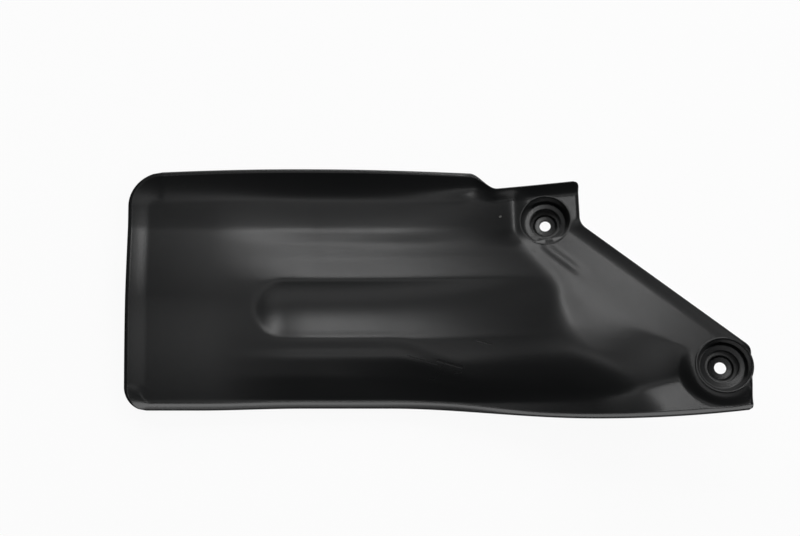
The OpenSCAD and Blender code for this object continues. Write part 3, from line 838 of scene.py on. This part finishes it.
# Lamps: degrees east and north of straight up, distance, width and height in metres, glow
SOFT_BOXES = (("key_soft_box", -4.0, 22, 6.0, 0.3, 1.5, 16.0),
              ("north_fill", 0, 64, 3.0, 5.4, 2.2, 2.9),
              ("east_fill", 63, 8, 3.0, 4.4, 2.2, 2.3),
              ("south_card", -5, 0, 3.0, 0.5, 1.1, 1.15))
TABLE_HALF = 3.0
SKY_TONE, SKY_GLOW, LOW_SKY = (0.9, 0.95, 1.0, 1), 0.05, 0.08
LOOK_AT, CAMERA_TILT, CAMERA_AWAY = (-84.3, -26.5, 5), 10, 0.5
SENSOR_WIDTH, FOCAL_LENGTH = 36.0, 38.25


def soft_box(scene, name, east, north, away, wide, tall, glow):
    """Area lamp in the direction of two tilts from straight up, aimed at the flap."""
    lamp = bpy.data.lights.new(name, 'AREA')
    lamp.shape, lamp.size, lamp.size_y = 'RECTANGLE', wide, tall
    lamp.energy = glow * math.pi * wide * tall
    way = Vector((math.tan(math.radians(east)), math.tan(math.radians(north)), 1))
    way.normalize()
    obj = bpy.data.objects.new(name, lamp)
    obj.location = way * away
    obj.rotation_euler = (-way).to_track_quat('-Z', 'Y').to_euler()
    scene.collection.objects.link(obj)


def studio_world():
    """White for the camera and through gaps, white near the horizon in gloss, dim elsewhere."""
    world = bpy.data.worlds.new("studio")
    world.use_nodes = True
    tree = world.node_tree
    tree.nodes.clear()
    path = tree.nodes.new("ShaderNodeLightPath")
    dim = tree.nodes.new("ShaderNodeBackground")
    dim.inputs["Color"].default_value = SKY_TONE
    dim.inputs["Strength"].default_value = SKY_GLOW
    bright = tree.nodes.new("ShaderNodeBackground")
    bright.inputs["Strength"].default_value = 1.0
    join = tree.nodes.new("ShaderNodeMixShader")
    end = tree.nodes.new("ShaderNodeOutputWorld")
    ways = tree.nodes.new("ShaderNodeTexCoord")
    split = tree.nodes.new("ShaderNodeSeparateXYZ")
    tree.links.new(ways.outputs["Generated"], split.inputs[0])

    def count(op, first, second):
        node = tree.nodes.new("ShaderNodeMath")
        node.operation, node.use_clamp = op, True
        tree.links.new(first, node.inputs[0])
        if isinstance(second, float):
            node.inputs[1].default_value = second
        else:
            tree.links.new(second, node.inputs[1])
        return node.outputs[0]

    low_sky = count('LESS_THAN', split.outputs["Z"], LOW_SKY)
    mirrored = count('MULTIPLY', low_sky, path.outputs["Is Glossy Ray"])
    seen = count('ADD', path.outputs["Is Camera Ray"], path.outputs["Is Transmission Ray"])
    tree.links.new(count('ADD', seen, mirrored), join.inputs[0])
    tree.links.new(dim.outputs[0], join.inputs[1])
    tree.links.new(bright.outputs[0], join.inputs[2])
    tree.links.new(join.outputs[0], end.inputs["Surface"])
    return world


def photo_camera(scene):
    """Camera of the photograph: a little south of straight above the flap."""
    sh = Sheet(scene.mudflap_sheet, scene.mudflap_cups)
    x, y, z = LOOK_AT
    look = Vector((x - sh.mid_x, y - sh.mid_y, z)) * MM
    tilt = math.radians(CAMERA_TILT)
    cam = bpy.data.cameras.new("photo_camera")
    cam.sensor_fit, cam.sensor_width, cam.lens = 'HORIZONTAL', SENSOR_WIDTH, FOCAL_LENGTH
    cam.clip_start = 0.01
    obj = bpy.data.objects.new("photo_camera", cam)
    obj.location = look + Vector((0, -math.sin(tilt), math.cos(tilt))) * CAMERA_AWAY
    obj.rotation_euler = (tilt, 0, 0)
    scene.collection.objects.link(obj)
    return obj


def plastic_of(scene):
    """The flap's one material, made the first time it is asked for."""
    found = bpy.data.materials.get(PLASTIC)
    if found is None:
        sh = Sheet(scene.mudflap_sheet, scene.mudflap_cups)
        found = flap_plastic(scene.mudflap_finish, (sh.mid_x, sh.mid_y))
    return found


class MUDFLAP_OT_sheet(bpy.types.Operator):
    """Moulds the thin sheet with its groove, folds and turned-up edges"""
    bl_idname = "mudflap.sheet"
    bl_label = "Mould Sheet"

    def execute(self, context):
        scene = context.scene
        sh = Sheet(scene.mudflap_sheet, scene.mudflap_cups)
        material = plastic_of(scene)
        piece = new_piece("flap_sheet", *sheet_mesh(sh), material)
        ride_as_flap(piece)
        return {'FINISHED'}


class MUDFLAP_OT_cups(bpy.types.Operator):
    """Turns the two stepped cups that carry the bolts"""
    bl_idname = "mudflap.cups"
    bl_label = "Turn Bolt Cups"

    def execute(self, context):
        scene = context.scene
        sh = Sheet(scene.mudflap_sheet, scene.mudflap_cups)
        material = plastic_of(scene)
        straight = (math.radians(STRAIGHT_SIDE), sh.mouth_d / 2 - STRAIGHT_IN)
        for name, cx, cy, flat in (("upper_cup", 0, 0, straight),
                                   ("lower_cup", sh.bolt_dx, -sh.bolt_dy, None)):
            ride_as_flap(new_piece(name, *cup_mesh(sh, cx, cy, flat=flat), material, sharp=50))
        return {'FINISHED'}


class MUDFLAP_OT_stage(bpy.types.Operator):
    """Sets the table, the soft boxes, the world and the camera"""
    bl_idname = "mudflap.stage"
    bl_label = "Set Stage"

    def execute(self, context):
        scene = context.scene
        low = CAD_BOX[0][2]
        size = TABLE_HALF
        mesh = bpy.data.meshes.new("table")
        mesh.from_pydata([(-size, -size, low), (size, -size, low), (size, size, low),
                          (-size, size, low)], [], [(0, 1, 2, 3)])
        mesh.materials.append(table_white(scene.mudflap_finish))
        table = bpy.data.objects.new("table", mesh)
        scene.collection.objects.link(table)
        for box in SOFT_BOXES:
            soft_box(scene, *box)
        scene.world = studio_world()
        scene.camera = photo_camera(scene)
        scene.view_settings.view_transform = 'Standard'
        return {'FINISHED'}


class MUDFLAP_PT_panel(bpy.types.Panel):
    bl_idname = "MUDFLAP_PT_panel"
    bl_label = "Mud Flap"
    bl_space_type = 'VIEW_3D'
    bl_region_type = 'UI'
    bl_category = "Mud Flap"

    def draw(self, context):
        scene = context.scene
        for title, group in (("Sheet", scene.mudflap_sheet), ("Bolt cups", scene.mudflap_cups),
                             ("Finish", scene.mudflap_finish)):
            box = self.layout.box()
            box.label(text=title)
            for key in group.bl_rna.properties.keys():
                if key not in ("name", "rna_type"):
                    box.prop(group, key)
        for kind in OPERATORS:
            self.layout.operator(kind.bl_idname)


GROUPS = (MUDFLAP_PG_sheet, MUDFLAP_PG_cups, MUDFLAP_PG_finish)
OPERATORS = (MUDFLAP_OT_sheet, MUDFLAP_OT_cups, MUDFLAP_OT_stage)
CLASSES = GROUPS + OPERATORS + (MUDFLAP_PT_panel,)


def register():
    for cls in CLASSES:
        bpy.utils.register_class(cls)
    bpy.types.Scene.mudflap_sheet = PointerProperty(type=MUDFLAP_PG_sheet)
    bpy.types.Scene.mudflap_cups = PointerProperty(type=MUDFLAP_PG_cups)
    bpy.types.Scene.mudflap_finish = PointerProperty(type=MUDFLAP_PG_finish)


def unregister():
    del bpy.types.Scene.mudflap_finish
    del bpy.types.Scene.mudflap_cups
    del bpy.types.Scene.mudflap_sheet
    for cls in reversed(CLASSES):
        bpy.utils.unregister_class(cls)


def main():
    register()
    bpy.ops.mudflap.sheet()
    bpy.ops.mudflap.cups()
    bpy.ops.mudflap.stage()


if __name__ == "__main__":
    main()
